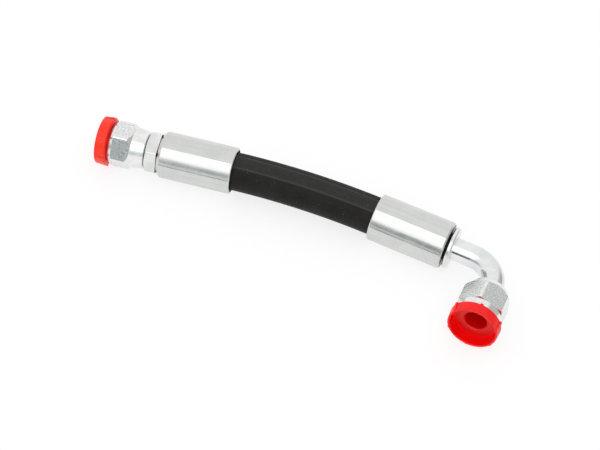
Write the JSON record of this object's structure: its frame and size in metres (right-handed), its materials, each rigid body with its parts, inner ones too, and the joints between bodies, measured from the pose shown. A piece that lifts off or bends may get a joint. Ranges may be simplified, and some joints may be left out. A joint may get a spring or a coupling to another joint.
{
  "type": "hydraulic hose assembly",
  "caption": "Short wire-braided hydraulic hose with crimped ferrules, a straight swivel nut at one end, a right-angle bent-tube swivel nut at the other, and dust plugs.",
  "frame": {"origin": "on the straight swivel nut's axis, at the nut's front face", "axes": "+X along the straight fitting into the hose; the hose bends and the elbow turns in the XY plane towards -Y; +Z square to that plane"},
  "size_m": [0.2422, 0.0884, 0.0292],
  "materials": {
    "plug_plastic": "satin",
    "nut_steel": "zinc plated, satin",
    "stem_steel": "zinc plated, bright",
    "ferrule_steel": "zinc plated, bright",
    "tube_steel": "zinc plated, bright",
    "cover_rubber": "satin",
    "inner_rubber": "matte",
    "braid_wire": "brass-coated wire"
  },
  "bodies": {
    "straight_end": {"straight_stem": "stem_steel", "straight_ferrule": "ferrule_steel", "hose_lining": "inner_rubber", "hose_inner_braid": "braid_wire", "hose_separator": "inner_rubber", "hose_outer_braid": "braid_wire", "hose_cover": "cover_rubber"},
    "straight_nut": {"straight_swivel_nut": "nut_steel"},
    "straight_plug": {"straight_dust_plug": "plug_plastic"},
    "elbow_end": {"elbow_ferrule": "ferrule_steel", "elbow_nipple": "stem_steel", "elbow_tube": "tube_steel", "elbow_seat": "stem_steel"},
    "elbow_nut": {"elbow_swivel_nut": "nut_steel"},
    "elbow_plug": {"elbow_dust_plug": "plug_plastic"}
  },
  "joints": [
    {"name": "straight_nut_spin", "type": "hinge", "parent": "straight_end", "child": "straight_nut", "pos_m": [0, 0, 0], "axis": [-1, 0, 0], "continuous": true},
    {"name": "straight_plug_pull", "type": "slide", "parent": "straight_nut", "child": "straight_plug", "axis": [-1, 0, 0], "range_m": [0, 0.02]},
    {"name": "hose_flex", "type": "hinge", "parent": "straight_end", "child": "elbow_end", "pos_m": [0.11442, -0.00224, 0], "axis": [0, 0, -1], "range_deg": [-39, 14.7], "stiffness_Nm_per_rad": 70, "deforming": ["hose_lining", "hose_inner_braid", "hose_separator", "hose_outer_braid", "hose_cover"]},
    {"name": "elbow_nut_spin", "type": "hinge", "parent": "elbow_end", "child": "elbow_nut", "pos_m": [0.21985, -0.06479, 0], "axis": [-0.2113, -0.9774, 0], "continuous": true},
    {"name": "elbow_plug_pull", "type": "slide", "parent": "elbow_nut", "child": "elbow_plug", "axis": [-0.2113, -0.9774, 0], "range_m": [0, 0.02]}
  ]
}
